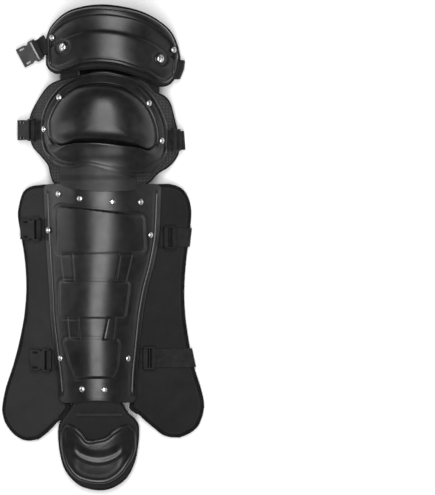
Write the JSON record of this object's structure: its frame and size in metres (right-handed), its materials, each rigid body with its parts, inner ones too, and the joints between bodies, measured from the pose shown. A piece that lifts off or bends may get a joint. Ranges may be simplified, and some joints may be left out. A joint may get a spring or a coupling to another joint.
{
  "type": "catcher leg guard",
  "caption": "Moulded black leg guard for one leg, with thigh, knee, shin and instep shells over fabric padding, side wings and webbing straps with side-release buckles.",
  "frame": {"origin": "bottom centre of the guard's box as it lies on its back", "axes": "+Y along the leg towards the thigh end, +Z out of the front of the guard, +X to the side of the strap adjusters"},
  "size_m": [0.302, 0.7256, 0.1092],
  "materials": {
    "shell": "satin moulded plastic",
    "padding": "matte fabric over foam",
    "wing_fabric": "matte knitted fabric over foam",
    "webbing": "woven webbing",
    "fastening": "moulded acetal",
    "rivet": "nickel plated"
  },
  "bodies": {
    "root": {"thigh_cap": "shell", "knee_cap": "shell", "shin_plate": "shell", "lower_knee_plate": "shell", "instep_cap": "shell", "thigh_pad": "padding", "knee_pad": "padding", "shin_pad": "padding", "left_wing": "wing_fabric", "right_wing": "wing_fabric", "instep_flap": "padding", "thigh_link_left": "padding", "thigh_link_right": "padding", "rivet_top_1": "rivet", "rivet_top_2": "rivet", "rivet_top_3": "rivet", "rivet_top_4": "rivet", "rivet_left_upper": "rivet", "rivet_right_upper": "rivet", "rivet_left_lower": "rivet", "rivet_right_lower": "rivet", "rivet_bottom_1": "rivet", "rivet_bottom_2": "rivet", "rivet_knee_high_left": "rivet", "rivet_knee_high_right": "rivet", "rivet_knee_side_left": "rivet", "rivet_knee_side_right": "rivet", "rivet_thigh_left": "rivet", "rivet_thigh_right": "rivet", "screw_thigh_left": "rivet", "screw_thigh_right": "rivet", "buckle_thigh": "fastening", "tab_thigh": "webbing", "buckle_knee": "fastening", "tab_knee": "webbing", "buckle_upper": "fastening", "tab_upper": "webbing", "buckle_lower": "fastening", "tab_lower": "webbing", "lock_knee": "fastening", "lock_tab_knee": "webbing", "strap_knee": "webbing", "clip_knee": "fastening", "lock_upper": "fastening", "lock_tab_upper": "webbing", "strap_upper": "webbing", "clip_upper": "fastening", "lock_lower": "fastening", "lock_tab_lower": "webbing", "strap_lower": "webbing", "clip_lower": "fastening", "strap_thigh": "webbing", "clip_thigh": "fastening"}
  },
  "joints": []
}
